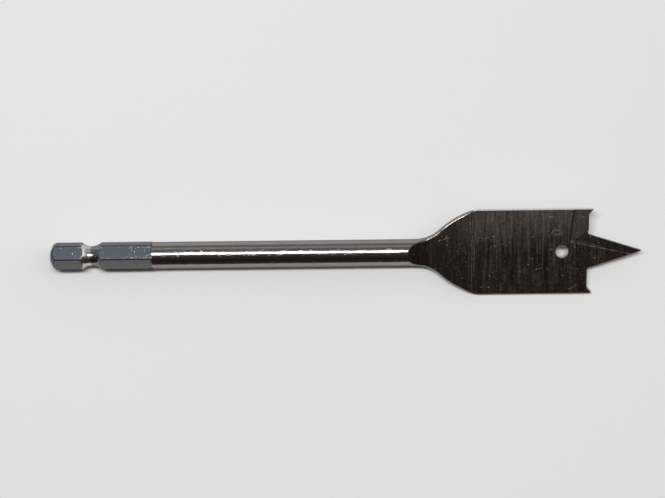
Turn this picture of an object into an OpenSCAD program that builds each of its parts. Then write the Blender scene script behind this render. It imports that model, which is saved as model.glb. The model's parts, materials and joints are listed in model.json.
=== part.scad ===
// Spade drill bit with a quarter-inch hex shank, forged and ground from one steel bar.
// The axis of the bit is X: the hex end face is at x = 0 and the point looks along +X.
// The bit lies at rest: it is rolled about X until one side of the blade and the hex
// corners touch the same level.

/* [Overall] */
// Length from the hex end face to the tip of the point
overall_l = 152; // [130:1:200]

/* [Hex shank] */
// Width across the flats of the hex
hex_af = 6.35; // [6.2:0.05:6.5]
// Diameter to which the hex corners are turned down
hex_corner_d = 7.25; // [7.1:0.05:7.3]
// Length from the end face to the start of the full round shank
hex_l = 26.1; // [22:0.1:40]
// Diameter of the flat part of the end face
end_face_d = 3.2; // [2:0.1:4]
// Angle of the end chamfer, measured from the axis
end_chamfer_angle = 65; // [50:1:70]
// Distance from the end face to the place where the hex corners begin
corner_x = 1.45; // [1.2:0.05:2]
// Radius of the dome that rounds the ends of the hex corners
corner_dome_r = 4.2; // [4:0.05:4.5]
// Turn of the hex against the blade: at zero two corners lie above the middle of the faces
hex_turn = 2; // [0:0.5:4]
// Distance from the end face to the middle of the locking groove
groove_x = 10.5; // [9:0.1:13]
// Length of the locking groove, measured at the hex corners
groove_l = 5.1; // [4:0.1:6]
// Diameter at the bottom of the locking groove
groove_d = 5.05; // [4.6:0.05:5.5]

/* [Round shank] */
// Diameter of the round shank
shank_d = 6.9; // [6.5:0.05:7]
// Length of the domed lead, from the middle of a hex flat to the full round shank
lead_l = 0.7; // [0.4:0.05:1.2]

/* [Neck and shoulders] */
// Distance from the end face to the place where the sides start to flare
neck_x = 93.4; // [80:0.1:98]
// Radius of the hollow flare at each side of the neck
flare_r = 10; // [6:0.5:14]
// Radius of the round shoulder at each side
shoulder_r = 21; // [16:0.5:28]
// Angle at which the shoulder meets the ground side of the blade
shoulder_angle = 15.6; // [8:0.2:22]
// How far behind the flare the flat face begins
tongue_lead = 2; // [0.4:0.1:3]
// Radius of the hollow ramp from the round shank down to the blade face
ramp_r = 10; // [6:0.5:14]

/* [Blade] */
// Width of the blade, which is the diameter of the bored hole
blade_w = 22; // [18:0.5:32]
// Thickness of the blade
blade_t = 2; // [1.6:0.1:2.6]
// Diameter of the hole in the blade
hole_d = 3.2; // [2:0.1:4]
// Distance from the cutting edges back to the middle of the hole
hole_back = 6.8; // [6.4:0.1:12]

/* [Cutting end] */
// Length of the point ahead of the cutting edges
point_l = 13.7; // [9:0.1:18]
// Full angle of the point
point_angle = 35; // [26:1:40]
// Fillet radius between a cutting edge and the point
gullet_r = 0.55; // [0.3:0.05:0.9]
// Relief angle behind the cutting edges
lip_relief = 8; // [3:1:15]
// Height of the spurs ahead of the cutting edges
spur_h = 1.2; // [0.6:0.1:1.8]
// Angle of the inner side of a spur, measured from the axis
spur_angle = 45; // [35:1:55]
// Length of the hook grind behind a cutting edge, at its inner end
hook_l = 4.6; // [3.5:0.1:5]
// Distance from the axis to the inner end of the hook grind
hook_in = 2.6; // [2:0.1:3.2]
// Rake angle of the hook grind
hook_rake = 5; // [3:0.2:7]
// Slope of the back wall of the hook grind, measured from its floor
hook_wall_angle = 50; // [40:1:70]
// Angle between the back wall of the hook grind and the cutting edge
hook_skew = 5.6; // [0:0.2:8]
// Angle between the axis and the ridge where the bevel of the point starts
ridge_skew = 12.5; // [10:0.5:14]
// Slope of the bevel of the point
bevel_slope = 10; // [6:0.5:13]

/* [Hidden] */
$fn = 96;
bit_colour = "#3a3533";

// Cutters pass this far beyond what they cut.
pass = 1;

shank_r = shank_d / 2;
blade_half_w = blade_w / 2;
blade_half_t = blade_t / 2;

// Hex: the corners keep a narrow round land, half of which spans this angle.
hex_apothem = hex_af / 2;
hex_corner_r = hex_corner_d / 2;
hex_land_angle = 30 - acos(hex_apothem / hex_corner_r);

// Ends of the hex: a cone from the flat end face, and a dome at each end of the corners.
end_face_r = end_face_d / 2;
dome_back = sqrt(corner_dome_r * corner_dome_r - hex_corner_r * hex_corner_r);
rear_dome_x = corner_x + dome_back;
front_dome_x = hex_l - dome_back;

// Locking groove: the arc through the corner circle at both ends and the groove's bottom.
groove_bottom_r = groove_d / 2;
groove_depth = hex_corner_r - groove_bottom_r;
groove_arc_r = (groove_l * groove_l / 4 + groove_depth * groove_depth) / (2 * groove_depth);

// Lead of the round shank: a dome through the middle of the flats and the start of the shank.
lead_dome_back = (shank_r * shank_r - hex_apothem * hex_apothem - lead_l * lead_l) / (2 * lead_l);
lead_dome_x = hex_l + lead_dome_back;
lead_dome_r = sqrt(lead_dome_back * lead_dome_back + shank_r * shank_r);

// Shoulder outline: a hollow arc and a round arc that share a tangent at this angle. The
// hollow arc starts a little below the surface of the shank and comes out of it.
neck_sink = 0.03;
flare_y = shank_r - neck_sink + flare_r;
flare_angle = acos((flare_y + shoulder_r * cos(shoulder_angle) - blade_half_w) / (flare_r + shoulder_r));
stock_half_t = shank_r + pass;

// Ramp: a hollow arc that leaves the round shank and ends tangent to the blade face.
ramp_fall = shank_r - blade_half_t;
ramp_l = sqrt(ramp_r * ramp_r - pow(ramp_r - ramp_fall, 2));
ramp_end_x = neck_x - tongue_lead + ramp_l;

// Cutting end, on the middle plane of the blade.
edge_x = overall_l - point_l;
edge_mid_x = edge_x - blade_half_t * tan(lip_relief);
point_half_angle = point_angle / 2;
root_y = (overall_l - edge_mid_x) * tan(point_half_angle);
gullet_steps = 6;
lip_in = root_y + 2 * gullet_r;
hook_x = edge_x - hook_l;

// Roll of the bit at rest: the lower hex corner and the side of the blade touch the same level.
low_land_angle = hex_turn - hex_land_angle;
rest_roll = atan((hex_corner_r * cos(low_land_angle) - blade_half_t)
    / (blade_half_w + hex_corner_r * sin(low_land_angle)));

// Turns a shape made along +Z so that it lies along +X.
module along_x() {
    rotate([0, 90, 0])
        children();
}

// Repeats a shape half a turn round the axis of the bit.
module both_sides() {
    for (turn = [0, 180])
        rotate([turn, 0, 0])
            children();
}

// Turned outline that limits the hex: end chamfer, corner lands and a dome at each end.
module hex_outline() {
    length = hex_l + pass;
    intersection() {
        cylinder(r = hex_corner_r, h = length);
        cylinder(r1 = end_face_r, r2 = end_face_r + length * tan(end_chamfer_angle), h = length);
        union() {
            translate([0, 0, rear_dome_x])
                sphere(r = corner_dome_r);
            translate([0, 0, rear_dome_x])
                cylinder(d = 2 * hex_corner_d, h = front_dome_x - rear_dome_x);
            translate([0, 0, front_dome_x])
                sphere(r = corner_dome_r);
        }
    }
}

// Ring that turns the locking groove.
module groove_ring() {
    translate([0, 0, groove_x])
        rotate_extrude()
            translate([groove_bottom_r + groove_arc_r, 0])
                circle(r = groove_arc_r);
}

// Hex drive with its locking groove.
module hex_shank() {
    along_x()
        difference() {
            intersection() {
                rotate([0, 0, hex_turn])
                    cylinder(r = hex_apothem / cos(30), h = hex_l + pass, $fn = 6);
                hex_outline();
            }
            groove_ring();
        }
}

// Round shank with its domed lead, up to the end of the ramp.
module round_shank() {
    along_x()
        intersection() {
            cylinder(r = shank_r, h = ramp_end_x);
            union() {
                translate([0, 0, lead_dome_x])
                    sphere(r = lead_dome_r);
                translate([0, 0, lead_dome_x])
                    cylinder(r = shank_d, h = ramp_end_x);
            }
        }
}

// Stock of the blade before it is cut to shape.
module blade_stock() {
    translate([neck_x, -blade_half_w, -stock_half_t])
        cube([overall_l - neck_x, blade_w, 2 * stock_half_t]);
}

// Section of the waste beside an edge that is as round as the shank. The distances are from
// the middle of the edge's bend: to the middle of the round, and to both ends of the waste.
module edge_section(round_at, from_r, to_r) {
    difference() {
        translate([from_r, -stock_half_t - pass])
            square([to_r - from_r, 2 * (stock_half_t + pass)]);
        translate([round_at, 0])
            circle(r = shank_r);
    }
}

// Waste beside one shoulder. X runs from the middle of the flare through the place where
// the hollow arc turns into the round one, to the middle of the shoulder arc.
module shoulder_waste() {
    overrun = 4;
    rim_r = shoulder_r - shank_r;
    translate([neck_x, flare_y, 0])
        rotate([0, 0, flare_angle - 90]) {
            rotate([180, 0, 0])
                rotate_extrude(angle = flare_angle + overrun)
                    edge_section(flare_r + shank_r, 0, flare_r + shank_r);
            translate([flare_r + shoulder_r, 0, 0])
                rotate([0, 180, 0])
                    rotate_extrude(angle = flare_angle - shoulder_angle / 2)
                        edge_section(rim_r, rim_r, shoulder_r + flare_r + blade_w);
        }
}

// Waste above the blade face, with the hollow ramp behind it.
module face_waste() {
    rotate([90, 0, 0])
        linear_extrude(blade_w + 2 * pass, center = true) {
            translate([ramp_end_x, blade_half_t + ramp_r])
                circle(r = ramp_r);
            translate([ramp_end_x, blade_half_t])
                square([overall_l - ramp_end_x + pass, ramp_r]);
        }
}

// Waste between spur, cutting edge and point, tilted by the relief angle. The outline lies in
// the tilted plane, where the point looks a little blunter.
module gullet_waste() {
    flank_angle = atan(tan(point_half_angle) / cos(lip_relief));
    spur_w = spur_h * tan(spur_angle);
    fillet_y = root_y + gullet_r * (1 - sin(flank_angle)) / cos(flank_angle);
    fillet = [
        for (step = [0 : gullet_steps])
            let (turn = 180 + (90 - flank_angle) * step / gullet_steps)
                [gullet_r + gullet_r * cos(turn), fillet_y + gullet_r * sin(turn)]
    ];
    reach = point_l + 2 * pass;
    depth = blade_half_t + reach * sin(lip_relief) + pass;
    translate([edge_mid_x, 0, 0])
        rotate([0, lip_relief, 0])
            linear_extrude(2 * depth, center = true)
                polygon(concat(
                    fillet,
                    [
                        [reach, root_y - reach * tan(flank_angle)],
                        [reach, blade_half_w + pass * tan(spur_angle)],
                        [spur_h + pass, blade_half_w + pass * tan(spur_angle)],
                        [0, blade_half_w - spur_w]
                    ]
                ));
}

// Waste of the hook grind, which leaves a raked floor behind the cutting edge and a sloping
// wall at its back.
module hook_waste() {
    outer_y = blade_half_w + pass;
    wall_run = blade_t / tan(hook_wall_angle);
    outer_wall_x = (outer_y - hook_in) * tan(hook_skew) - hook_l;
    translate([edge_x, 0, blade_half_t])
        rotate([0, -hook_rake, 0])
            intersection() {
                linear_extrude(blade_t)
                    polygon([
                        [-hook_l - wall_run, hook_in],
                        [-hook_l, hook_in],
                        [0, lip_in],
                        [spur_h + pass, outer_y],
                        [outer_wall_x - wall_run, outer_y]
                    ]);
                translate([-hook_l, hook_in, 0])
                    rotate([90, 0, -hook_skew])
                        linear_extrude(4 * blade_w, center = true)
                            polygon([
                                [wall_run, -blade_t],
                                [hook_l + point_l, -blade_t],
                                [hook_l + point_l, 2 * blade_t],
                                [-2 * wall_run, 2 * blade_t]
                            ]);
            }
}

// Waste of the bevel that sharpens one flank of the point.
module bevel_waste() {
    reach = hook_l + point_l + pass;
    root_turn = atan((lip_in - hook_in) / hook_l) + ridge_skew;
    translate([hook_x, hook_in, blade_half_t])
        rotate([0, 0, -ridge_skew])
            rotate([-bevel_slope, 0, 0])
                linear_extrude(blade_t)
                    polygon([
                        [0, 0],
                        [2 * reach, 0],
                        [2 * reach, reach],
                        [reach * cos(root_turn), reach * sin(root_turn)]
                    ]);
}

// Hole across the blade.
module blade_hole() {
    translate([edge_x - hole_back, 0, 0])
        cylinder(d = hole_d, h = blade_t + 2 * pass, center = true);
}

module spade_bit() {
    color(bit_colour)
        rotate([rest_roll, 0, 0]) {
            hex_shank();
            difference() {
                union() {
                    round_shank();
                    difference() {
                        blade_stock();
                        both_sides()
                            shoulder_waste();
                    }
                }
                both_sides() {
                    face_waste();
                    gullet_waste();
                    hook_waste();
                    bevel_waste();
                }
                blade_hole();
            }
        }
}

spade_bit();
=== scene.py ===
"""Looks of a spade drill bit that lies on a pale table: worn dark steel under one soft box."""
import json
import math

import bmesh
import bpy
from mathutils import Matrix, Vector


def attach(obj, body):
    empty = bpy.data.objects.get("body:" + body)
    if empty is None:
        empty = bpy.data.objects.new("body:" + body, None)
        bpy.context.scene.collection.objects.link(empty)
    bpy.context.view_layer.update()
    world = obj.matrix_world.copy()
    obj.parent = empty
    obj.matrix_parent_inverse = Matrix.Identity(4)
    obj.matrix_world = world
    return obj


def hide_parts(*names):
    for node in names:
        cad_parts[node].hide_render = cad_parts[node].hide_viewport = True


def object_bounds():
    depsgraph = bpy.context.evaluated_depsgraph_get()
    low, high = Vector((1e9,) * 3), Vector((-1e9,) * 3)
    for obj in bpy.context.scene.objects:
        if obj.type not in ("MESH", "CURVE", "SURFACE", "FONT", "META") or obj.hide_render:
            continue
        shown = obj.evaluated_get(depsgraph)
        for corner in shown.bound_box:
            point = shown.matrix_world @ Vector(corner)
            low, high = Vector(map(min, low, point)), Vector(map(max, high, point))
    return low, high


bl_info = {
    "name": "Spade drill bit",
    "version": (1, 0, 0),
    "blender": (4, 5, 0),
    "location": "View3D > Sidebar > Spade bit",
    "description": "Dresses the packed spade drill bit and sets up its stage",
    "category": "Object",
}

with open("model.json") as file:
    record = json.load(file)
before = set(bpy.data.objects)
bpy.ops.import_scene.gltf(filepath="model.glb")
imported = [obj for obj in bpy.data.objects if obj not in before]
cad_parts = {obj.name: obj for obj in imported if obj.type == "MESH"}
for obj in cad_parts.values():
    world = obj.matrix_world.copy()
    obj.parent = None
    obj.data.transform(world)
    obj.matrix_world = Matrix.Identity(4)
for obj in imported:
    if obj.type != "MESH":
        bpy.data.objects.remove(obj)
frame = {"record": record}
CAD_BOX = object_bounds()
MM = 0.001
OVERALL_L = CAD_BOX[1].x
TABLE_Z = CAD_BOX[0].z
HOLE = next(mount for mount in frame["record"]["mounts"] if mount["name"] == "blade_hole")
HOLE_X = HOLE["pos_m"][0]
HOLE_R = HOLE["dims"]["r_mm"] * MM
BLADE_NORMAL = Vector(HOLE["axis"])
BLADE_ROLL = math.atan2(-BLADE_NORMAL.y, BLADE_NORMAL.z)


def length(name, default, description):
    """Declare a length that a user can change."""
    return bpy.props.FloatProperty(
        name=name, description=description, default=default, unit="LENGTH", precision=5
    )


def angle(name, default, description):
    """Declare an angle that a user can change; the default is in degrees."""
    return bpy.props.FloatProperty(
        name=name, description=description, default=math.radians(default), subtype="ANGLE"
    )


def colour(name, default, description):
    """Declare a colour that a user can change."""
    return bpy.props.FloatVectorProperty(
        name=name, description=description, default=(*default, 1.0), size=4, subtype="COLOR", min=0.0, max=1.0
    )


def amount(name, default, description):
    """Declare a plain number that a user can change."""
    return bpy.props.FloatProperty(name=name, description=description, default=default)


class BitSizes(bpy.types.PropertyGroup):
    """Sizes of the bit."""

    hex_flats: length("Hex flats", 0.00635, "Width across the flats of the hex")
    hex_corner_d: length("Hex corners", 0.00725, "Diameter to which the hex corners are turned down")
    hex_l: length("Hex length", 0.0261, "Length from the end face to the full round shank")
    hex_turn: angle("Hex turn", 2.0, "Turn of the hex against the blade")
    end_face_d: length("End face", 0.0032, "Diameter of the flat part of the end face")
    end_chamfer: angle("End chamfer", 65.0, "Angle of the end chamfer, measured from the axis")
    corner_x: length("Corner start", 0.00145, "Distance from the end face to the start of the hex corners")
    corner_dome_r: length("Corner dome", 0.0042, "Radius of the dome that rounds the ends of the corners")
    groove_x: length("Groove place", 0.0105, "Distance from the end face to the middle of the locking groove")
    groove_l: length("Groove length", 0.0051, "Length of the locking groove at the hex corners")
    groove_d: length("Groove bottom", 0.00505, "Diameter at the bottom of the locking groove")
    shank_d: length("Shank", 0.0069, "Diameter of the round shank")
    lead_l: length("Shank lead", 0.0004, "Length of the domed lead from the hex flats to the shank")
    neck_x: length("Neck place", 0.0934, "Distance from the end face to the start of the flare")
    neck_sink: length("Neck sink", 0.00003, "Depth below the shank's surface at which the flare starts")
    flare_r: length("Flare radius", 0.010, "Radius of the hollow flare at each side of the neck")
    shoulder_r: length("Shoulder radius", 0.021, "Radius of the round shoulders")
    shoulder_angle: angle("Shoulder angle", 15.6, "Angle at which a shoulder meets the side of the blade")
    tongue_lead: length("Tongue lead", 0.0017, "How far behind the flare the flat face begins")
    edge_round: length("Shoulder edge", 0.00045, "Width of the rounded edges of the shoulders")
    edge_drop: length("Shoulder edge drop", 0.0009, "Height of the rounded edges of the shoulders")
    edge_fade: length("Edge run-out", 0.003, "Length over which the rounded edges run out")
    ramp_r: length("Ramp radius", 0.010, "Radius of the hollow ramp down to the blade face")
    blade_w: length("Blade width", 0.022, "Width of the blade")
    blade_t: length("Blade thickness", 0.002, "Thickness of the blade")
    point_l: length("Point length", 0.0137, "Length of the point ahead of the cutting edges")
    point_angle: angle("Point angle", 35.0, "Full angle of the point")
    gullet_r: length("Gullet radius", 0.00055, "Fillet radius between a cutting edge and the point")
    lip_relief: angle("Lip relief", 8.0, "Relief angle behind the cutting edges")
    spur_h: length("Spur height", 0.0012, "Height of the spurs ahead of the cutting edges")
    spur_angle: angle("Spur angle", 45.0, "Angle of the inner side of a spur")
    hook_l: length("Hook length", 0.0046, "Length of the hook grind at its inner end")
    hook_in: length("Hook inner end", 0.0026, "Distance from the axis to the inner end of the hook grind")
    hook_rake: angle("Hook rake", 5.0, "Rake angle of the hook grind")
    hook_wall: angle("Hook wall", 50.0, "Slope of the back wall of the hook grind")
    hook_skew: angle("Hook skew", 5.6, "Angle between the back wall and the cutting edge")
    ridge_skew: angle("Ridge skew", 12.5, "Angle between the axis and the ridge of the bevel")
    bevel_slope: angle("Bevel slope", 10.0, "Slope of the bevel of the point")
    edge_wear: length("Edge wear", 0.00003, "Width over which the edges of the groove and the end are worn")
    hole_wear: length("Hole wear", 0.00008, "Width of the worn rim of the hole")


class SteelSettings(bpy.types.PropertyGroup):
    """Colours and finishes of the steel."""

    hex_colour: colour("Hex", (0.268, 0.266, 0.268), "Colour of the satin hex")
    # Painted shade: this dark colour stands in for the dark reflection on the hex corners, their noses, the
    # step to the shank and the end.
    corner_shade_colour: colour("Hex corners", (0.035, 0.035, 0.04), "Colour of the turned-down corners of the hex")
    shank_colour: colour("Shank", (0.36, 0.345, 0.335), "Colour of the polished shank")
    oxide_colour: colour("Oxide", (0.044, 0.031, 0.028), "Colour of the darkest oxide on the blade")
    rubbed_colour: colour("Rubbed blade", (0.21, 0.18, 0.158), "Colour of the blade where it is rubbed")
    hook_colour: colour("Hook grind", (0.108, 0.092, 0.085), "Colour of the hook grinds")
    bevel_colour: colour("Bevel", (0.095, 0.080, 0.074), "Colour of the bevels of the point")
    # Painted highlight: the groove's rear wall is painted bright in place of the reflection of the light.
    groove_highlight_colour: colour("Groove", (0.62, 0.60, 0.57), "Colour of the groove's rear wall, rubbed bright")
    side_sheen_colour: colour("Blade side", (0.92, 0.905, 0.88), "Colour of the ground sides of the blade")
    # Bright ground steel with a painted reflection: the sides are painted near white like the lit table they
    # reflect, and the wall of the hole is painted bright as painted light in the hole.
    edge_tint: colour("Grazing tint", (0.50, 0.50, 0.53), "Tint of the steel at grazing angles")
    # Besides dust, this colour paints the highlights along the bevel's ridge and beside the hex corners.
    dust_colour: colour("Dust", (0.52, 0.50, 0.47), "Colour of dust, lint and bare scratches")
    hex_roughness: amount("Hex roughness", 0.14, "Roughness of the hex")
    shank_roughness: amount("Shank roughness", 0.075, "Roughness of the shank")
    blade_roughness: amount("Blade roughness", 0.36, "Roughness of the blade")
    hook_roughness: amount("Hook roughness", 0.36, "Roughness of the hook grinds")
    bevel_roughness: amount("Bevel roughness", 0.13, "Roughness of the bevels of the point")


class StageSettings(bpy.types.PropertyGroup):
    """Table, light and camera."""

    table_colour: colour("Table", (0.80, 0.795, 0.79), "Colour of the table")
    light_lean: angle("Light lean", 10.5, "Lean of the soft box from straight above towards the far side")
    light_distance: length("Light distance", 1.0, "Distance of the soft box")
    light_x: length("Light place", -0.02, "Place of the soft box along the bit")
    light_l: length("Light length", 0.68, "Length of the soft box along the bit")
    light_w: length("Light width", 0.13, "Width of the soft box across the bit")
    light_power: bpy.props.FloatProperty(
        name="Light power", description="Power of the soft box", default=7.7, unit="POWER"
    )
    camera_height: length("Camera height", 0.45, "Height of the camera above the axis of the bit")
    camera_x: length("Camera place", 0.0725, "Place of the camera along the bit")
    camera_y: length("Camera side", 0.0011, "Place of the camera across the bit")
    view_w: length("View width", 0.1714, "Width of the view at the axis of the bit")
    view_turn: angle("View turn", -0.65, "Turn of the camera about its own line of sight")


def worn_min(first, second, wear):
    """Take the smaller of two radii and round the edge between them."""
    overlap = max(wear - abs(first - second), 0.0) / wear
    return min(first, second) - overlap * overlap * wear / 4


def dome(radius, middle, x):
    """Radius of a dome at a place along its axis."""
    return math.sqrt(max(radius * radius - (x - middle) * (x - middle), 0.0))


class BitForm:
    """The skin of the bit with its blade lying level, worked out from the sizes."""

    # Points of a ring, in degrees from each hex corner and from each edge of the blade's faces.
    STEPS_FROM_CORNER = (0, 1.6, 2.2, 3.2, 4.8, 7, 10.5, 14, 18, 22, 26)
    STEPS_FROM_EDGE = (-0.6, 0, 0.6, 1.2, 1.9, 2.7, 3.6, 4.7, 6)
    # Points of a ring that are closer together than this, in degrees, become one.
    CLOSEST_STEP = 0.2
    # Rings along each stretch, from the end face to the tip.
    END_RINGS = 28
    REAR_RINGS = 6
    GROOVE_RINGS = 48
    FRONT_RINGS = 8
    LEAD_RINGS = 64
    SHANK_RINGS = 12
    RAMP_RINGS = 60
    SHOULDER_RINGS = 66
    BLADE_RINGS = 16
    # Length of the end that has close rings.
    END_STRETCH = 0.0017
    # Share of the groove's length that has close rings, to each side of its middle.
    GROOVE_REACH = 0.6
    # How far past the start of the ramp its first ring lies.
    RAMP_GAP = 0.00002
    # How far the skin and the cutters reach past the finished bit.
    OVERRUN = 0.001
    FILLET_STEPS = 10
    HOLE_POINTS = 72

    def __init__(self, sizes):
        self.sizes = sizes
        self.apothem = sizes.hex_flats / 2
        self.corner_r = sizes.hex_corner_d / 2
        self.shank_r = sizes.shank_d / 2
        self.half_w = sizes.blade_w / 2
        self.half_t = sizes.blade_t / 2
        self.place_hex()
        self.place_neck()
        self.place_cutting_end()

    def place_hex(self):
        """Work out the domes and the groove of the hex."""
        sizes = self.sizes
        dome_back = math.sqrt(sizes.corner_dome_r**2 - self.corner_r**2)
        self.rear_dome_x = sizes.corner_x + dome_back
        self.front_dome_x = sizes.hex_l - dome_back
        lead_back = (self.shank_r**2 - self.apothem**2 - sizes.lead_l**2) / (2 * sizes.lead_l)
        self.lead_dome_x = sizes.hex_l + lead_back
        self.lead_dome_r = math.hypot(lead_back, self.shank_r)
        depth = self.corner_r - sizes.groove_d / 2
        self.groove_arc_r = (sizes.groove_l**2 / 4 + depth * depth) / (2 * depth)

    def place_neck(self):
        """Work out the flare, the shoulders and the ramp."""
        sizes = self.sizes
        self.flare_y = self.shank_r - sizes.neck_sink + sizes.flare_r
        reach = sizes.flare_r + sizes.shoulder_r
        self.shoulder_y = self.half_w - sizes.shoulder_r * math.cos(sizes.shoulder_angle)
        self.flare_angle = math.acos((self.flare_y - self.shoulder_y) / reach)
        self.shoulder_x = sizes.neck_x + reach * math.sin(self.flare_angle)
        self.side_x = self.shoulder_x - sizes.shoulder_r * math.sin(sizes.shoulder_angle)
        fall = self.shank_r - self.half_t
        self.ramp_x = sizes.neck_x - sizes.tongue_lead
        self.ramp_end_x = self.ramp_x + math.sqrt(sizes.ramp_r**2 - (sizes.ramp_r - fall) ** 2)

    def place_cutting_end(self):
        """Work out the lips, the gullets and the root of the point."""
        sizes = self.sizes
        self.edge_x = OVERALL_L - sizes.point_l
        self.edge_mid_x = self.edge_x - self.half_t * math.tan(sizes.lip_relief)
        self.root_y = (OVERALL_L - self.edge_mid_x) * math.tan(sizes.point_angle / 2)
        self.lip_in = self.root_y + 2 * sizes.gullet_r

    def turns(self):
        """Angles of the points of a ring, close together at the hex corners and the blade's edges."""
        found = set()
        land = 30 - math.degrees(math.acos(self.apothem / self.corner_r))
        for corner in range(0, 360, 60):
            middle = corner - math.degrees(self.sizes.hex_turn)
            for step in (land, *self.STEPS_FROM_CORNER):
                found.update((middle + step, middle - step))
            found.add(middle + 30)
        edge = math.degrees(math.acos(self.half_t / self.shank_r))
        for step in self.STEPS_FROM_EDGE:
            near = edge + step
            found.update((near, 180 - near, 180 + near, 360 - near))
        ordered = sorted(turn % 360 for turn in found)
        following = ordered[1:] + [ordered[0] + 360]
        kept = [turn for turn, after in zip(ordered, following) if after - turn > self.CLOSEST_STEP]
        return [math.radians(turn) for turn in kept]

    def hex_radius(self, turn):
        """Radius of the plain hex at an angle from the blade's upper face."""
        sixth = math.pi / 3
        return self.apothem / math.cos((turn + self.sizes.hex_turn) % sixth - sixth / 2)

    def drive_radius(self, x, turn):
        """Radius of the hex, its groove and the round shank."""
        sizes = self.sizes
        wear = sizes.edge_wear
        shank = self.shank_r if x >= sizes.hex_l else dome(self.lead_dome_r, self.lead_dome_x, x)
        if x > self.lead_dome_x:
            return shank
        radius = min(self.hex_radius(turn), self.corner_r)
        if x < self.rear_dome_x:
            radius = worn_min(radius, dome(sizes.corner_dome_r, self.rear_dome_x, x), wear)
        if x > self.front_dome_x:
            radius = worn_min(radius, dome(sizes.corner_dome_r, self.front_dome_x, x), wear)
        radius = worn_min(radius, sizes.end_face_d / 2 + x * math.tan(sizes.end_chamfer), wear)
        from_groove = abs(x - sizes.groove_x)
        if from_groove < sizes.groove_l:
            hollow = sizes.groove_d / 2 + self.groove_arc_r - dome(self.groove_arc_r, 0.0, from_groove)
            radius = worn_min(radius, hollow, wear)
        return max(radius, shank)

    def rounding(self, x, z):
        """How far the rounded edge of a shoulder stands back at a height above the middle plane."""
        sizes = self.sizes
        share = min((x - sizes.neck_x) / sizes.edge_fade, (self.side_x - x) / sizes.edge_fade, 1.0)
        drop = sizes.edge_drop * share
        above = abs(z) - (self.face(x) - drop)
        if share <= 0 or above <= 0:
            return 0.0
        return sizes.edge_round * share * (1 - dome(1.0, 0.0, min(above / drop, 1.0)))

    def side(self, x, z):
        """Half width of the bit at a height above its middle plane, with sharp edges."""
        sizes = self.sizes
        round_y = dome(self.shank_r, 0.0, z)
        ahead = x - sizes.neck_x
        inset = self.shank_r - round_y
        if ahead <= 0:
            return round_y
        if x >= self.shoulder_x:
            return self.half_w
        if ahead < (sizes.flare_r + inset) * math.sin(self.flare_angle):
            return max(round_y, self.flare_y - dome(sizes.flare_r + inset, 0.0, ahead))
        return min(self.half_w, self.shoulder_y + dome(sizes.shoulder_r - inset, self.shoulder_x, x))

    def half_width(self, x, z):
        """Half width of the bit with the edges of its shoulders rounded."""
        return self.side(x, z) - self.rounding(x, z)

    def face(self, x):
        """Height of the blade face above the middle plane."""
        sizes = self.sizes
        if x >= self.ramp_end_x:
            return self.half_t
        return self.half_t + sizes.ramp_r - dome(sizes.ramp_r, self.ramp_end_x, x)

    def drive_ring(self, x, turns):
        """Points round the hex or the shank."""
        radii = [self.drive_radius(x, turn) for turn in turns]
        return [(x, r * math.sin(turn), r * math.cos(turn)) for r, turn in zip(radii, turns)]

    def blade_ring(self, x, turns):
        """Points round the neck or the blade: the shank's circle, spread sideways and cut flat."""
        top = self.face(x)
        width = self.half_width(x, top)
        flat_y = dome(self.shank_r, 0.0, top)
        edge = math.acos(top / self.shank_r)
        on_edge = {}
        for place in (edge, math.pi - edge, math.pi + edge, 2 * math.pi - edge):
            nearest = min(turns, key=lambda turn: abs(turn - place))
            on_edge[nearest] = place
        ring = []
        for turn in turns:
            turn = on_edge.get(turn, turn)
            y = self.shank_r * math.sin(turn)
            z = self.shank_r * math.cos(turn)
            if abs(z) > top:
                ring.append((x, y / flat_y * width, math.copysign(top, z)))
            else:
                ring.append((x, math.copysign(self.half_width(x, z), y), z))
        return ring

    def places(self):
        """Places of the rings along the drive and along the blade."""
        sizes = self.sizes
        groove_start = sizes.groove_x - self.GROOVE_REACH * sizes.groove_l
        groove_end = sizes.groove_x + self.GROOVE_REACH * sizes.groove_l
        lead_start = self.front_dome_x + sizes.lead_l
        past_tip = OVERALL_L + self.OVERRUN
        drive = steps(0.0, self.END_STRETCH, self.END_RINGS)
        drive += steps(self.END_STRETCH, groove_start, self.REAR_RINGS)
        drive += steps(groove_start, groove_end, self.GROOVE_RINGS)
        drive += steps(groove_end, lead_start, self.FRONT_RINGS)
        drive += steps(lead_start, self.lead_dome_x, self.LEAD_RINGS)
        drive += steps(self.lead_dome_x, self.ramp_x, self.SHANK_RINGS)
        blade = steps(self.ramp_x + self.RAMP_GAP, self.ramp_end_x, self.RAMP_RINGS)
        blade += steps(self.ramp_end_x, self.shoulder_x, self.SHOULDER_RINGS)
        blade += steps(self.shoulder_x, past_tip, self.BLADE_RINGS)
        return drive, [*blade, past_tip]

    def skin(self):
        """All rings from the end face to just past the tip."""
        turns = self.turns()
        drive, blade = self.places()
        return [self.drive_ring(x, turns) for x in drive] + [self.blade_ring(x, turns) for x in blade]

    def gullet_outline(self):
        """Outline of the waste between spur, cutting edge and point."""
        sizes = self.sizes
        flank = math.atan(math.tan(sizes.point_angle / 2) / math.cos(sizes.lip_relief))
        fillet_y = self.root_y + sizes.gullet_r * (1 - math.sin(flank)) / math.cos(flank)
        fillet = []
        for step in range(self.FILLET_STEPS + 1):
            turn = math.pi + (math.pi / 2 - flank) * step / self.FILLET_STEPS
            fillet.append((sizes.gullet_r * (1 + math.cos(turn)), fillet_y + sizes.gullet_r * math.sin(turn)))
        reach = sizes.point_l + 2 * self.OVERRUN
        spur_slope = math.tan(sizes.spur_angle)
        outer_y = self.half_w + self.OVERRUN * spur_slope
        return fillet + [
            (reach, self.root_y - reach * math.tan(flank)),
            (reach, outer_y),
            (sizes.spur_h + self.OVERRUN, outer_y),
            (0.0, self.half_w - sizes.spur_h * spur_slope),
        ]

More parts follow.
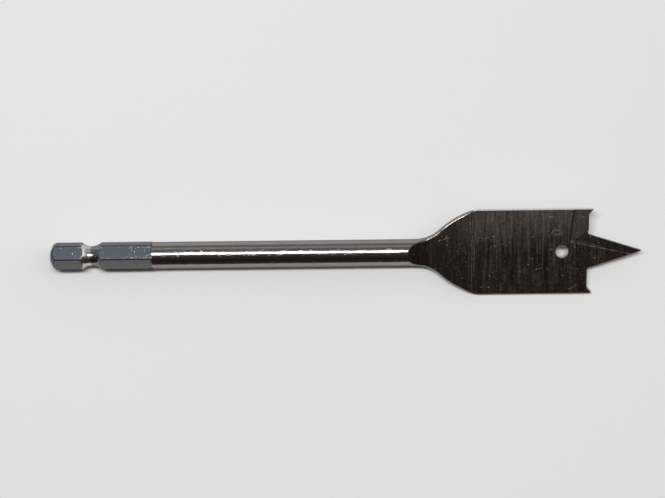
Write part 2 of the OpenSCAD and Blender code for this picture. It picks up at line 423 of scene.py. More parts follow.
    def gullet(self):
        """Waste of a gullet, tilted by the relief of the lip."""
        reach = self.sizes.point_l + 2 * self.OVERRUN
        depth = self.half_t + reach * math.sin(self.sizes.lip_relief) + self.OVERRUN
        seat = Matrix.Translation((self.edge_mid_x, 0, 0)) @ Matrix.Rotation(self.sizes.lip_relief, 4, "Y")
        return prism("gullet", self.gullet_outline(), -depth, depth, seat)

    def hook(self):
        """Waste of a hook grind: a raked floor with a sloping wall at its back."""
        sizes = self.sizes
        outer_y = self.half_w + self.OVERRUN
        run = sizes.blade_t / math.tan(sizes.hook_wall) / math.cos(sizes.hook_skew)
        outer_x = (outer_y - sizes.hook_in) * math.tan(sizes.hook_skew) - sizes.hook_l
        front = [(0.0, self.lip_in), (sizes.spur_h + self.OVERRUN, outer_y)]
        floor = [(-sizes.hook_l, sizes.hook_in), *front, (outer_x, outer_y)]
        roof = [(-sizes.hook_l - run, sizes.hook_in), floor[0], *front, (outer_x - run, outer_y)]
        corners = [(x, y, 0.0) for x, y in floor] + [(x, y, sizes.blade_t) for x, y in roof]
        seat = Matrix.Translation((self.edge_x, 0, self.half_t)) @ Matrix.Rotation(-sizes.hook_rake, 4, "Y")
        return wrap("hook", corners, seat)

    def bevel(self):
        """Waste of the bevel that sharpens one flank of the point."""
        sizes = self.sizes
        reach = sizes.hook_l + sizes.point_l + self.OVERRUN
        root_turn = math.atan((self.lip_in - sizes.hook_in) / sizes.hook_l) + sizes.ridge_skew
        root = Vector((math.cos(root_turn), math.sin(root_turn)))
        behind = -self.OVERRUN * root
        outline = [behind, (2 * reach, behind.y), (2 * reach, reach), reach * root]
        seat = (
            Matrix.Translation((self.edge_x - sizes.hook_l, sizes.hook_in, self.half_t))
            @ Matrix.Rotation(-sizes.ridge_skew, 4, "Z")
            @ Matrix.Rotation(-sizes.bevel_slope, 4, "X")
        )
        return prism("bevel", outline, 0.0, sizes.blade_t, seat)

    def hole(self):
        """Waste of the hole, with a worn rim at both faces."""
        wear = self.sizes.hole_wear
        mouth = self.half_t + self.OVERRUN
        levels = [
            (-mouth, HOLE_R + wear + self.OVERRUN),
            (-self.half_t + wear, HOLE_R),
            (self.half_t - wear, HOLE_R),
            (mouth, HOLE_R + wear + self.OVERRUN),
        ]
        turns = [2 * math.pi * step / self.HOLE_POINTS for step in range(self.HOLE_POINTS)]
        rings = []
        for z, radius in levels:
            rings.append([(HOLE_X + radius * math.cos(turn), radius * math.sin(turn), z) for turn in turns])
        return loft("hole", rings)


def steps(start, end, count):
    """Places from start up to, but without, end."""
    return [start + (end - start) * step / count for step in range(count)]


def loft(name, rings):
    """Join rings of points into one closed mesh."""
    build = bmesh.new()
    rows = [[build.verts.new(point) for point in ring] for ring in rings]
    for row, after in zip(rows, rows[1:]):
        for a, b, c, d in zip(row, row[1:] + row[:1], after[1:] + after[:1], after):
            build.faces.new((a, b, c, d))
    build.faces.new(rows[0][::-1])
    build.faces.new(rows[-1])
    return close(name, build)


def prism(name, outline, low, high, seat):
    """Raise an outline between two levels and set it in its place."""
    rings = [[seat @ Vector((x, y, level)) for x, y in outline] for level in (low, high)]
    return loft(name, rings)


def wrap(name, corners, seat):
    """Wrap corners in their hull and set it in its place."""
    build = bmesh.new()
    for corner in corners:
        build.verts.new(seat @ Vector(corner))
    hull = bmesh.ops.convex_hull(build, input=build.verts)
    bmesh.ops.delete(build, geom=hull["geom_interior"], context="VERTS")
    return close(name, build)


def close(name, build):
    """Turn the faces outwards and write the mesh."""
    bmesh.ops.recalc_face_normals(build, faces=build.faces)
    mesh = bpy.data.meshes.new(name)
    build.to_mesh(mesh)
    build.free()
    made = bpy.data.objects.new(name, mesh)
    bpy.context.collection.objects.link(made)
    return made


def cut(body, cutters):
    """Take the cutters off the body and remove them."""
    for cutter in cutters:
        taking = body.modifiers.new(cutter.name, "BOOLEAN")
        taking.operation = "DIFFERENCE"
        taking.solver = "EXACT"
        taking.object = cutter
    ready = body.evaluated_get(bpy.context.evaluated_depsgraph_get())
    mesh = bpy.data.meshes.new_from_object(ready)
    body.modifiers.clear()
    body.data = mesh
    for cutter in cutters:
        bpy.data.objects.remove(cutter)


class BIT_OT_body(bpy.types.Operator):
    """Build the fine skin of the bit in place of the plain solid"""

    bl_idname = "bit.body"
    bl_label = "Body"

    # Edges that turn by more than this stay sharp.
    SHARP = math.radians(22)

    def execute(self, context):
        form = BitForm(context.scene.bit_sizes)
        body = loft("spade_bit_skin", form.skin())
        for polygon in body.data.polygons:
            polygon.use_smooth = True
        half_turn = Matrix.Rotation(math.pi, 4, "X")
        cutters = []
        for make in (form.gullet, form.hook, form.bevel):
            for turn in (Matrix(), half_turn):
                cutter = make()
                cutter.data.transform(turn)
                cutters.append(cutter)
        cut(body, [*cutters, form.hole()])
        if len(body.data.polygons) < len(form.turns()):
            raise RuntimeError("the skin of the bit was lost while it was cut")
        body.data.set_sharp_from_angle(angle=self.SHARP)
        for polygon in body.data.polygons:
            polygon.use_smooth = polygon.center.x < form.shoulder_x
        body.data.transform(Matrix.Rotation(BLADE_ROLL, 4, "X"))
        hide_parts("spade_bit")
        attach(body, "root")
        return {"FINISHED"}


class Wire:
    """A number socket of a shader, usable in plain arithmetic."""

    def __init__(self, shader, socket):
        self.shader = shader
        self.socket = socket

    def __add__(self, other):
        return self.shader.math("ADD", self, other)

    def __radd__(self, other):
        return self.shader.math("ADD", other, self)

    def __sub__(self, other):
        return self.shader.math("SUBTRACT", self, other)

    def __rsub__(self, other):
        return self.shader.math("SUBTRACT", other, self)

    def __mul__(self, other):
        return self.shader.math("MULTIPLY", self, other)

    def __rmul__(self, other):
        return self.shader.math("MULTIPLY", other, self)

    def __abs__(self):
        return self.shader.math("ABSOLUTE", self)


class Shader:
    """The node tree of one material or of the world."""

    # Share of a line's half width that is drawn in full.
    LINE_CORE = 0.3

    def __init__(self, owner):
        owner.use_nodes = True
        self.tree = owner.node_tree
        self.tree.nodes.clear()

    def node(self, kind, settings=None, inputs=None):
        """Add a node: its settings first, then the values or links of its sockets."""
        made = self.tree.nodes.new(kind)
        for name, value in (settings or {}).items():
            if name == "stops":
                self.set_stops(made.color_ramp, value)
            else:
                setattr(made, name, value)
        for name, value in (inputs or {}).items():
            socket = made.inputs[name]
            if isinstance(value, Wire):
                self.tree.links.new(value.socket, socket)
            elif isinstance(value, bpy.types.NodeSocket):
                self.tree.links.new(value, socket)
            else:
                socket.default_value = value
        return made

    def set_stops(self, ramp, stops):
        """Write a ramp's stops as pairs of place and colour."""
        while len(ramp.elements) < len(stops):
            ramp.elements.new(1.0)
        for element, (place, tint) in zip(ramp.elements, stops):
            element.position = place
            element.color = tint

    def math(self, operation, *values):
        """Add a Math node and give back its result."""
        made = self.node("ShaderNodeMath", {"operation": operation}, dict(enumerate(values)))
        return Wire(self, made.outputs[0])

    def larger(self, first, second):
        """Take the larger of two numbers."""
        return self.math("MAXIMUM", first, second)

    def fade(self, value, low, high):
        """Run smoothly from 0 at low to 1 at high."""
        made = self.node(
            "ShaderNodeMapRange",
            {"interpolation_type": "SMOOTHSTEP", "clamp": True},
            {"Value": value, "From Min": low, "From Max": high},
        )
        return Wire(self, made.outputs["Result"])

    def mix(self, factor, first, second):
        """Mix two colours."""
        made = self.node(
            "ShaderNodeMix",
            {"data_type": "RGBA", "clamp_factor": True},
            {0: factor, 6: first, 7: second},
        )
        return made.outputs[2]

    def noise(self, place, scale, detail, roughness=0.5):
        """Read a noise between 0 and 1 at a place."""
        made = self.node(
            "ShaderNodeTexNoise",
            {"noise_dimensions": "3D"},
            {"Vector": place, "Scale": scale, "Detail": detail, "Roughness": roughness},
        )
        return Wire(self, made.outputs["Fac"])

    def vector(self, operation, *values):
        """Add a Vector Math node and give back its vector."""
        made = self.node("ShaderNodeVectorMath", {"operation": operation}, dict(enumerate(values)))
        return made.outputs[0]

    def measure(self, operation, *values):
        """Add a Vector Math node and give back its number."""
        made = self.node("ShaderNodeVectorMath", {"operation": operation}, dict(enumerate(values)))
        return Wire(self, made.outputs["Value"])

    def parts(self, place):
        """Split a vector into its three numbers."""
        made = self.node("ShaderNodeSeparateXYZ", None, {0: place})
        return [Wire(self, socket) for socket in made.outputs]

    def joined(self, *numbers):
        """Join up to three numbers into a vector."""
        return self.node("ShaderNodeCombineXYZ", None, dict(enumerate(numbers))).outputs[0]

    def line(self, place, start, end, half_width):
        """Draw a straight line with soft edges between two points."""
        start = Vector(start)
        run = Vector(end) - start
        offset = self.vector("SUBTRACT", place, start)
        share = self.measure("DOT_PRODUCT", offset, run / run.length_squared)
        share = self.math("MINIMUM", self.larger(share, 0.0), 1.0)
        away = self.measure("DISTANCE", offset, self.joined(*[share * part for part in run]))
        return 1 - self.fade(away, self.LINE_CORE * half_width, half_width)


class SteelFinish:
    """The worn dark steel of the bit, with some shade, highlights and reflections painted in, drawn by place
    in millimetres with the blade turned level.
    """

    # Spans in millimetres over which one finish runs into the next, from the end of the hex.
    HEX_RUN_OUT = (-0.5, 0.1)
    STEP_START = (-0.55, -0.4)
    STEP_END = (-0.1, 0.1)
    NOSE_START = (-0.2, 0.0)
    NOSE_END = (0.4, 0.6)
    DUSTY_HEX = (-7.6, -4.6)
    # The same from the end face, from the shank's surface and from the turned-down hex corners, for the
    # painted shade and for the painted highlight beside the corners.
    END_RUN_OUT = (0.65, 1.0)
    NOSE_RISE = (0.01, 0.03)
    CORNER = (-0.09, -0.055)
    CORNER_HIGHLIGHT_START = (-0.205, -0.165)
    CORNER_HIGHLIGHT_END = (-0.155, -0.125)
    # The same from the wall of the groove, from its rear edge and from its middle, for the highlight painted
    # on its rear wall.
    GROOVE_SKIN = (0.02, 0.06)
    GROOVE_EDGE = (-0.12, 0.0)
    GROOVE_REAR = (-0.3, 0.4)
    # The same from the start and the end of the ramp, the blade's face, its straight sides and the hole.
    TONGUE = (-0.05, 0.1)
    GRIND_START = (0.0, 2.0)
    FACE_SKIN = (-0.06, -0.02)
    SIDE_START = (-0.3, 0.0)
    SIDE_SKIN = (-0.3, -0.15)
    HOLE_SKIN = (0.05, 0.1)
    # Cosines of the angle from the blade's normal at which a face, a grind and a bevel are told apart.
    FACE_TURN = (0.93, 0.97)
    GRIND_TURN = (0.9967, 0.9985)
    BEVEL_TURN = (0.988, 0.993)
    # Spans in millimetres along the blade, and across it towards a lip, in which it is rubbed paler.
    RUBBED_FROM = (100.0, 117.0)
    RUBBED_TO = (137.0, 141.0)
    RUBBED_ACROSS = (-2.0, 10.5)
    # Waves per millimetre along, across and through the blade, with the detail and its strength.
    STREAKS = ((2.6, 0.12, 0.4), 4.0, 0.62)
    HAIRS = ((7.0, 0.10, 0.4), 3.0, 0.5)
    TURNING = ((7.0, 0.3, 0.3), 3.0, 0.5)
    # Waves per millimetre with the detail.
    PITS = (2.6, 2.0)
    GRAIN = (1.4, 3.0)
    BLOTCHES = (0.35, 3.0)
    CORNER_HIGHLIGHT_WAVES = (1.3, 2.0)
    LINT_GAPS = (1.6, 2.0)
    RIDGE_GAPS = (0.9, 3.0)
    # Levels of a noise between which its marks come in.
    CROWDED = (0.44, 0.60)
    CORNER_HIGHLIGHT_LEVELS = (0.50, 0.62)
    LINT_WHOLE = (0.30, 0.55)
    RIDGE_WHOLE = (0.25, 0.65)
    SIDE_LINES = (0.4, 0.75)
    # Specks per millimetre, and how far a speck reaches into its cell.
    SPECKS = (1.0, 0.20)
    FAINT_SPECKS = (1.9, 0.26)
    FINE_SPECKS = (2.7, 0.32)
    # Share of a speck's reach that is drawn in full, and the span of chance that sets its strength.
    SPECK_CORE = 0.4
    SPECK_CHANCE = (0.35, 1.0)
    # Depth of the dents at plain specks and at fine ones, in depths of the relief.
    DENT = 14.0
    FINE_DENT = 6.0
    # Lint and scratches on the upper face, in millimetres along and across it, with their strength.
    LINT = (
        ((99.6, 3.2), (101.5, 3.6), 0.9),
        ((101.5, 3.6), (102.2, 3.9), 0.9),
        ((101.5, 3.6), (101.8, 4.4), 0.7),
        ((109.5, 3.6), (112.4, 4.1), 0.6),
        ((112.4, 4.1), (113.2, 3.2), 0.6),
        ((126.0, 9.9), (130.1, 8.9), 0.5),
        ((127.4, 9.2), (129.0, 9.0), 0.5),
        ((133.3, -10.0), (134.4, -9.6), 0.6),
        ((134.4, -9.6), (135.3, -9.0), 0.6),
        ((135.3, -9.0), (135.0, -8.6), 0.6),
        ((133.5, -4.2), (135.6, -4.6), 0.35),
        ((135.6, -4.6), (136.6, -6.2), 0.35),
        ((108.45, 8.6), (108.30, -7.6), 0.35),
        ((109.0, 6.0), (108.9, -6.5), 0.3),
    )
    # Half width of the lint, and how far and how often it wanders.
    LINT_W = 0.11
    LINT_DRIFT = 0.7
    LINT_DRIFT_WAVES = 1.1
    # Heights above the middle plane over which the lint comes in.
    LINT_HEIGHT = (0.2, 0.5)
    # A loop of lint: its middle, radius, strength, full core, and its width as a share of its length.
    LOOP = (130.2, 5.1)
    LOOP_R = 0.62
    LOOP_STRENGTH = 0.6
    LOOP_CORE = 0.03
    LOOP_SQUEEZE = 0.42
    # Half widths of the painted highlight on the ridge and of the faint line beside it, and that line's place
    # and share.
    RIDGE_W = 0.12
    BESIDE_W = 0.10
    BESIDE = Vector((0.6, 0.33, 0.0))
    BESIDE_SHARE = 0.45
    # Depth of the relief in metres, and how strongly it shows.
    RELIEF = 0.00002
    RELIEF_STRENGTH = 0.2

    def __init__(self, material, form, steel):
        self.shader = Shader(material)
        self.form = form
        self.steel = steel
        self.read_place()
        self.mask_drive()
        self.mask_groove_highlight()
        self.mask_blade()
        self.draw_marks()

    def read_place(self):
        """Read the place on the bit and how nearly the surface is parallel to the blade."""
        shader = self.shader
        spot = shader.node("ShaderNodeTexCoord").outputs["Object"]
        level = shader.node(
            "ShaderNodeVectorRotate", {"rotation_type": "X_AXIS"}, {"Vector": spot, "Angle": -BLADE_ROLL}
        )
        self.place = shader.vector("MULTIPLY", level.outputs[0], (1 / MM, 1 / MM, 1 / MM))
        self.along, self.across, self.height = shader.parts(self.place)
        self.radius = shader.math("SQRT", self.across * self.across + self.height * self.height)
        normal = shader.node("ShaderNodeNewGeometry").outputs["Normal"]
        self.facing = abs(shader.measure("DOT_PRODUCT", normal, BLADE_NORMAL))

    def past(self, value, place, span):
        """Run from 0 to 1 over a span beside a place."""
        return self.shader.fade(value, place + span[0], place + span[1])

    def between(self, value, place, start, end):
        """Rise over one span beside a place and fall over another."""
        return self.past(value, place, start) * (1 - self.past(value, place, end))

    def mask_drive(self):
        """Tell the hex from the shank, and find where shade is painted: its corners, the noses of the
        corners, the step and its ends.
        """
        shader = self.shader
        hex_end = self.form.sizes.hex_l / MM
        self.on_hex = 1 - self.past(self.along, hex_end, self.HEX_RUN_OUT)
        self.on_end_shade = 1 - self.past(self.along, 0.0, self.END_RUN_OUT)
        corner = self.on_hex * self.past(self.radius, self.form.corner_r / MM, self.CORNER)
        step = self.between(self.along, hex_end, self.STEP_START, self.STEP_END)
        nose = self.between(self.along, hex_end, self.NOSE_START, self.NOSE_END)
        nose = nose * self.past(self.radius, self.form.shank_r / MM, self.NOSE_RISE)
        self.on_corner_shade = shader.larger(shader.larger(corner, step * 0.45), nose)

    def mask_groove_highlight(self):
        """Find the rear wall of the locking groove, where a highlight is painted."""
        shader = self.shader
        sizes = self.form.sizes
        arc_r = self.form.groove_arc_r / MM
        reach = sizes.groove_l / 2 / MM
        behind = shader.math("MINIMUM", sizes.groove_x / MM - self.along, reach)
        hollow = sizes.groove_d / 2 / MM + arc_r - shader.math("SQRT", arc_r * arc_r - behind * behind)
        on_wall = 1 - shader.fade(abs(self.radius - hollow), *self.GROOVE_SKIN)
        on_wall = on_wall * (1 - self.past(behind, reach, self.GROOVE_EDGE))
        self.on_groove_highlight = on_wall * shader.fade(behind, *self.GROOVE_REAR)

    def mask_blade(self):
        """Find the blade's faces, the fresh grinds, and the sides with the wall of the hole, which are
        painted bright.
        """
        shader = self.shader
        form = self.form
        ramp_r = form.sizes.ramp_r / MM
        ramp_end = form.ramp_end_x / MM
        before = shader.larger(ramp_end - self.along, 0.0)
        top = form.half_t / MM + ramp_r - shader.math("SQRT", ramp_r * ramp_r - before * before)
        on_top = shader.fade(abs(self.height) - top, *self.FACE_SKIN)
        flat = shader.larger(on_top, shader.fade(self.facing, *self.FACE_TURN))
        self.on_face = self.past(self.along, form.ramp_x / MM, self.TONGUE) * flat
        on_grind = self.on_face * self.past(self.along, ramp_end, self.GRIND_START)
        self.on_bevel = on_grind * (1 - shader.fade(self.facing, *self.BEVEL_TURN))
        self.on_grind = on_grind * (1 - shader.fade(self.facing, *self.GRIND_TURN))
        straight = self.past(self.along, form.side_x / MM, self.SIDE_START)
        outside = self.past(abs(self.across), form.half_w / MM, self.SIDE_SKIN)
        seen_flat = shader.vector("MULTIPLY", self.place, (1.0, 1.0, 0.0))
        from_hole = shader.measure("DISTANCE", seen_flat, (HOLE_X / MM, 0.0, 0.0))
        in_hole = 1 - self.past(from_hole, HOLE_R / MM, self.HOLE_SKIN)
        self.on_side_sheen = shader.larger(straight * outside, in_hole) * (1 - self.on_face)

    def stretched(self, scale, detail, roughness):
        """Read a noise that is drawn out along the directions with small scales."""
        shader = self.shader
        return shader.noise(shader.vector("MULTIPLY", self.place, scale), 1.0, detail, roughness)

    def scatter(self, scale, reach):
        """Scatter round specks of uneven strength."""
        shader = self.shader
        cells = shader.node("ShaderNodeTexVoronoi", {"feature": "F1"}, {"Vector": self.place, "Scale": scale})
        chance = shader.parts(cells.outputs["Color"])[0]
        distance = Wire(shader, cells.outputs["Distance"])
        speck = 1 - shader.fade(distance, self.SPECK_CORE * reach, reach)
        return speck * shader.fade(chance, *self.SPECK_CHANCE)

    def draw_marks(self):
        """Draw the grinding marks, specks, dents, lint, and the painted highlights beside the hex corners and
        along the ridges.
        """
        shader = self.shader
        self.streaks = self.stretched(*self.STREAKS)
        self.hairs = self.stretched(*self.HAIRS)
        self.turning = self.stretched(*self.TURNING)
        self.pits = shader.noise(self.place, *self.PITS)
        self.grain = shader.noise(self.place, *self.GRAIN)
        self.blotches = shader.noise(self.place, *self.BLOTCHES)
        self.draw_specks()
        # Painted highlight: a broken pale line on the flats beside the hex corners, where their edges would
        # catch the light.
        beside_corner = self.between(self.radius, self.form.corner_r / MM, self.CORNER_HIGHLIGHT_START, self.CORNER_HIGHLIGHT_END)
        rubbed = shader.fade(shader.noise(self.place, *self.CORNER_HIGHLIGHT_WAVES), *self.CORNER_HIGHLIGHT_LEVELS)
        self.corner_highlights = self.on_hex * beside_corner * rubbed
        on_upper = self.on_face * shader.fade(self.height, *self.LINT_HEIGHT)
        self.lint = on_upper * self.draw_lint(shader.joined(self.along, self.across))
        self.towards_lip = self.across * shader.math("SIGN", self.height)
        self.ridge = self.on_face * self.draw_ridge_highlight(shader.joined(self.along, self.towards_lip))

    def draw_specks(self):
        """Scatter dust, thickest on the hex behind the shank, and small dents."""
        shader = self.shader
        near_step = self.on_hex * self.past(self.along, self.form.sizes.hex_l / MM, self.DUSTY_HEX)
        crowd = shader.larger(shader.fade(self.blotches, *self.CROWDED), near_step)
        specks = shader.larger(self.scatter(*self.SPECKS), self.scatter(*self.FAINT_SPECKS) * 0.6)
        specks = specks * (0.3 + 0.9 * crowd)
        fine_specks = self.scatter(*self.FINE_SPECKS)
        self.dents = shader.larger(specks * self.DENT, fine_specks * self.FINE_DENT)
        self.specks = shader.larger(specks, fine_specks * near_step)

    def draw_lint(self, flat):
        """Draw lint and scratches as broken, wandering lines."""
        shader = self.shader
        drift = shader.node(
            "ShaderNodeTexNoise", None, {"Vector": flat, "Scale": self.LINT_DRIFT_WAVES, "Detail": 1.0}
        )
        reach = Vector((self.LINT_DRIFT, self.LINT_DRIFT, 0.0))
        offset = shader.vector("MULTIPLY_ADD", drift.outputs["Color"], reach, reach / -2)
        wandering = shader.vector("ADD", flat, offset)
        squeeze = self.LOOP_SQUEEZE
        squeezed = shader.vector("MULTIPLY", wandering, (squeeze, 1.0, 1.0))
        from_loop = shader.measure("DISTANCE", squeezed, (self.LOOP[0] * squeeze, self.LOOP[1], 0.0))
        off_loop = shader.fade(abs(from_loop - self.LOOP_R), self.LOOP_CORE, self.LINT_W)
        drawn = self.LOOP_STRENGTH * (1 - off_loop)
        for start, end, strength in self.LINT:
            strand = shader.line(wandering, (*start, 0.0), (*end, 0.0), self.LINT_W)
            drawn = shader.larger(drawn, strand * strength)
        return drawn * shader.fade(shader.noise(flat, *self.LINT_GAPS), *self.LINT_WHOLE)

    def draw_ridge_highlight(self, paired):
        """Draw the painted highlight along the ridge of the bevel and the fainter grinding line beside it."""
        shader = self.shader
        form = self.form
        sizes = form.sizes
        start = Vector(((form.edge_x - sizes.hook_l) / MM, sizes.hook_in / MM, 0.0))
        slope = math.tan(sizes.ridge_skew)
        flank = math.tan(sizes.point_angle / 2)
        run = (start.y + flank * (OVERALL_L / MM - start.x)) / (slope + flank)
        end = start + Vector((run, -slope * run, 0.0))
        ridge = shader.line(paired, start, end, self.RIDGE_W)
        beside = start + self.BESIDE
        faint = shader.line(paired, beside, beside + (end - start) * self.BESIDE_SHARE, self.BESIDE_W)
        drawn = shader.larger(ridge, faint * 0.6)
        return drawn * shader.fade(shader.noise(paired, *self.RIDGE_GAPS), *self.RIDGE_WHOLE)

    def gather_dust_and_highlights(self):
        """Put specks, lint, and the painted highlights along the ridge and beside the hex corners together.
        """
        dust_and_highlights = self.specks * (0.2 + 0.7 * self.on_hex + 0.4 * self.on_face)
        for marks, strength in ((self.lint, 0.55), (self.ridge, 0.4), (self.corner_highlights, 0.5)):
            dust_and_highlights = self.shader.larger(dust_and_highlights, marks * strength)
        return dust_and_highlights

    def blade_colour(self):
        """Colour the blade from its darkest oxide to the paler steel that is rubbed near the lips."""
        shader = self.shader
        further = shader.fade(self.along, *self.RUBBED_FROM)
        rubbed = shader.fade(self.towards_lip, *self.RUBBED_ACROSS) * (0.35 + 0.65 * further)
        rubbed = rubbed * (1 - 0.7 * shader.fade(self.along, *self.RUBBED_TO))
        uneven = 1.3 * self.streaks + 0.8 * self.grain + 0.5 * self.hairs - 1.3
        tone = 0.03 + 0.06 * further + 0.6 * rubbed + uneven * (0.35 + 0.85 * further)
        return shader.mix(tone, self.steel.oxide_colour, self.steel.rubbed_colour)

    def colour(self, dust_and_highlights):
        """Lay the colours of all regions over each other, with the dust and the painted highlights on top."""
        shader = self.shader
        steel = self.steel
        lines = shader.fade(self.turning, *self.SIDE_LINES) * 0.6
        side = shader.mix(lines, steel.side_sheen_colour, steel.shank_colour)
        grind = shader.mix(self.on_bevel, steel.hook_colour, steel.bevel_colour)
        tint = shader.mix(self.on_hex, steel.shank_colour, steel.hex_colour)
        layers = (
            (self.blotches * 0.25, steel.oxide_colour),
            # Painted shade on the end, and on the hex corners, their noses and the step.
            (self.on_end_shade * 0.8, steel.corner_shade_colour),
            (self.on_corner_shade, steel.corner_shade_colour),
            # Painted highlight on the rear wall of the groove.
            (self.on_groove_highlight, steel.groove_highlight_colour),
            # Painted reflection of the table on the ground sides, and painted light on the wall of the hole.
            (self.on_side_sheen, side),
            (self.on_face, self.blade_colour()),
            (self.on_grind * (0.9 - 0.5 * self.streaks), grind),
            (dust_and_highlights, steel.dust_colour),
        )
        for cover, layer in layers:
            tint = shader.mix(cover, tint, layer)
        return tint

    def roughness(self, dust_and_highlights):
        """Roughness from the polished shank to the blade, the grinds, the dust and the painted highlights."""
        steel = self.steel
        base = steel.shank_roughness
        rough = base + self.turning * 0.05 + self.on_hex * (steel.hex_roughness - base)
        rough = rough + self.on_face * (steel.blade_roughness - base + 0.25 * (self.streaks - 0.5))
        rough = rough + self.on_grind * (steel.hook_roughness - steel.blade_roughness)
        rough = rough + self.on_bevel * (steel.bevel_roughness - steel.hook_roughness)
        return rough + dust_and_highlights * 0.3 + self.on_corner_shade * 0.3

    def relief(self, dust_and_highlights):
        """Height of the grinding and turning marks, the pits, the dents, the dust and the painted highlights.
        """
        off_face = 1 - self.on_face
        pitted = self.pits * (5.0 - 4.65 * self.on_hex)
        ground = self.on_face * (self.streaks + self.hairs) * 0.5
        turned = off_face * (self.turning * 0.25 + self.blotches * 0.5 + pitted)
        dents = self.dents * (1 - self.on_hex) * off_face
        return ground + turned + dust_and_highlights - dents

    def put_together(self):
        """Put colour, roughness and bump together."""
        shader = self.shader
        dust_and_highlights = self.gather_dust_and_highlights()
        bump = shader.node(
            "ShaderNodeBump",
            None,
            {"Strength": self.RELIEF_STRENGTH, "Distance": self.RELIEF, "Height": self.relief(dust_and_highlights)},
        )
        surface = shader.node(
            "ShaderNodeBsdfPrincipled",
            None,
            {
                "Base Color": self.colour(dust_and_highlights),
                "Metallic": 1 - dust_and_highlights * 0.6 - self.on_side_sheen * 0.5,
                "Roughness": self.roughness(dust_and_highlights),
                "Normal": bump.outputs[0],
                "Specular Tint": self.steel.edge_tint,
            },
        )
        shader.node("ShaderNodeOutputMaterial", None, {"Surface": surface.outputs[0]})


class BIT_OT_steel(bpy.types.Operator):
    """Give the bit its worn dark steel"""

    bl_idname = "bit.steel"
    bl_label = "Steel"

    def execute(self, context):
        skin = bpy.data.objects["spade_bit_skin"]
        material = bpy.data.materials.new("dark_steel")
        finish = SteelFinish(material, BitForm(context.scene.bit_sizes), context.scene.bit_steel)
        finish.put_together()
        skin.data.materials.clear()
        skin.data.materials.append(material)
        return {"FINISHED"}


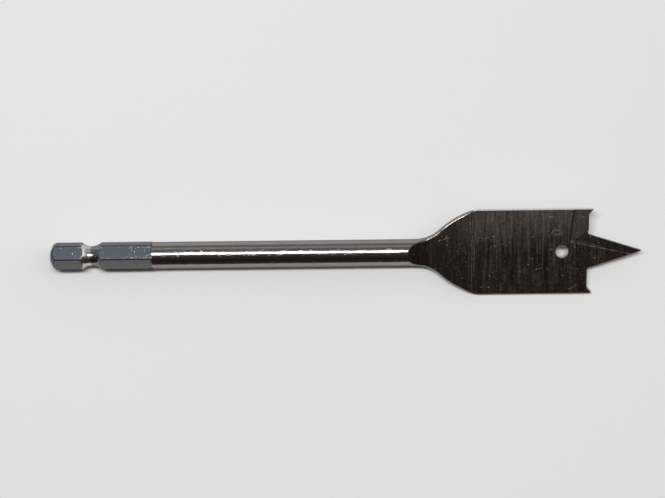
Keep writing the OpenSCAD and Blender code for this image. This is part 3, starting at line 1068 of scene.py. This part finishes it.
class BIT_OT_stage(bpy.types.Operator):
    """Set up the table, the light and the camera"""

    bl_idname = "bit.stage"
    bl_label = "Stage"

    # Half the width of the table in metres, and its finish.
    TABLE_HALF = 1.5
    TABLE_ROUGHNESS = 0.9
    TABLE_SHINE = 0.1
    # Light from around the bit by direction, from the near side (-1) over the top to the far side (1).
    AROUND = (
        (-1.0, (0.060, 0.050, 0.043)),
        (-0.80, (0.026, 0.022, 0.020)),
        (-0.55, (0.054, 0.042, 0.034)),
        (-0.30, (0.076, 0.058, 0.046)),
        (-0.12, (0.13, 0.115, 0.105)),
        (0.05, (0.22, 0.21, 0.21)),
        (0.40, (0.31, 0.40, 0.51)),
        (0.51, (0.30, 0.38, 0.50)),
        (0.58, (0.15, 0.16, 0.19)),
        (0.67, (0.18, 0.18, 0.185)),
        (0.79, (0.62, 0.59, 0.54)),
        (0.88, (0.54, 0.52, 0.49)),
        (0.95, (0.30, 0.29, 0.29)),
    )
    # Light from beyond the point, and the directions along and across the bit over which it comes in.
    GLOW = (1.25, 1.22, 1.15, 1.0)
    GLOW_ALONG = (0.45, 0.8)
    GLOW_ACROSS = (-0.12, 0.10)

    def execute(self, context):
        settings = context.scene.bit_stage
        self.add_table(settings)
        self.add_light(settings)
        self.add_world(context.scene)
        self.add_camera(context.scene, settings)
        context.scene.view_settings.view_transform = "Standard"
        return {"FINISHED"}

    def add_table(self, settings):
        """Lay a pale table under the bit."""
        half = self.TABLE_HALF
        mesh = bpy.data.meshes.new("table")
        corners = [(x, y, TABLE_Z) for x, y in ((-half, -half), (half, -half), (half, half), (-half, half))]
        mesh.from_pydata(corners, [], [(0, 1, 2, 3)])
        table = bpy.data.objects.new("table", mesh)
        bpy.context.collection.objects.link(table)
        material = bpy.data.materials.new("table_white")
        shader = Shader(material)
        surface = shader.node(
            "ShaderNodeBsdfPrincipled",
            None,
            {
                "Base Color": settings.table_colour,
                "Roughness": self.TABLE_ROUGHNESS,
                "Specular IOR Level": self.TABLE_SHINE,
            },
        )
        shader.node("ShaderNodeOutputMaterial", None, {"Surface": surface.outputs[0]})
        mesh.materials.append(material)

    def add_light(self, settings):
        """Hang the soft box above the far side."""
        lean = settings.light_lean
        lamp = bpy.data.lights.new("soft_box", "AREA")
        lamp.shape = "RECTANGLE"
        lamp.size = settings.light_l
        lamp.size_y = settings.light_w
        lamp.energy = settings.light_power
        box = bpy.data.objects.new("soft_box", lamp)
        aim = Vector((settings.light_x, 0, 0))
        box.location = aim + settings.light_distance * Vector((0, math.sin(lean), math.cos(lean)))
        box.rotation_euler = (-lean, 0, 0)
        bpy.context.collection.objects.link(box)

    def add_world(self, scene):
        """Light the bit from around: dark on the near side, a pale strip low on the far side."""
        world = bpy.data.worlds.new("around")
        scene.world = world
        shader = Shader(world)
        coordinates = shader.node("ShaderNodeTexCoord")
        along, across = shader.parts(coordinates.outputs["Generated"])[:2]
        stops = [(0.5 + 0.5 * place, (*tint, 1.0)) for place, tint in self.AROUND]
        ramp = shader.node("ShaderNodeValToRGB", {"stops": stops}, {0: across * 0.5 + 0.5})
        glow = shader.fade(along, *self.GLOW_ALONG) * shader.fade(across, *self.GLOW_ACROSS)
        light = shader.mix(glow, ramp.outputs[0], self.GLOW)
        sky = shader.node("ShaderNodeBackground", None, {"Color": light, "Strength": 1.0})
        shader.node("ShaderNodeOutputWorld", None, {"Surface": sky.outputs[0]})

    def add_camera(self, scene, settings):
        """Look straight down at the bit."""
        data = bpy.data.cameras.new("camera")
        data.sensor_fit = "HORIZONTAL"
        data.angle = 2 * math.atan(settings.view_w / 2 / settings.camera_height)
        camera = bpy.data.objects.new("camera", data)
        camera.location = (settings.camera_x, settings.camera_y, settings.camera_height)
        camera.rotation_euler = (0, 0, settings.view_turn)
        bpy.context.collection.objects.link(camera)
        scene.camera = camera


class BIT_PT_panel(bpy.types.Panel):
    """Lists the steps and settings of the bit"""

    bl_idname = "BIT_PT_panel"
    bl_label = "Spade bit"
    bl_space_type = "VIEW_3D"
    bl_region_type = "UI"
    bl_category = "Spade bit"

    def draw(self, context):
        for step in STEPS:
            self.layout.operator(step.bl_idname)
        for group in (context.scene.bit_sizes, context.scene.bit_steel, context.scene.bit_stage):
            for name in type(group).__annotations__:
                self.layout.prop(group, name)


STEPS = (BIT_OT_body, BIT_OT_steel, BIT_OT_stage)
CLASSES = (BitSizes, SteelSettings, StageSettings, *STEPS, BIT_PT_panel)


def register():
    """Make the settings, the steps and the panel known to Blender."""
    for one in CLASSES:
        bpy.utils.register_class(one)
    bpy.types.Scene.bit_sizes = bpy.props.PointerProperty(type=BitSizes)
    bpy.types.Scene.bit_steel = bpy.props.PointerProperty(type=SteelSettings)
    bpy.types.Scene.bit_stage = bpy.props.PointerProperty(type=StageSettings)


def unregister():
    """Take the settings, the steps and the panel out of Blender again."""
    del bpy.types.Scene.bit_stage
    del bpy.types.Scene.bit_steel
    del bpy.types.Scene.bit_sizes
    for one in reversed(CLASSES):
        bpy.utils.unregister_class(one)


def main():
    """Dress the bit and set the stage."""
    register()
    bpy.ops.bit.body()
    bpy.ops.bit.steel()
    bpy.ops.bit.stage()


if __name__ == "__main__":
    main()
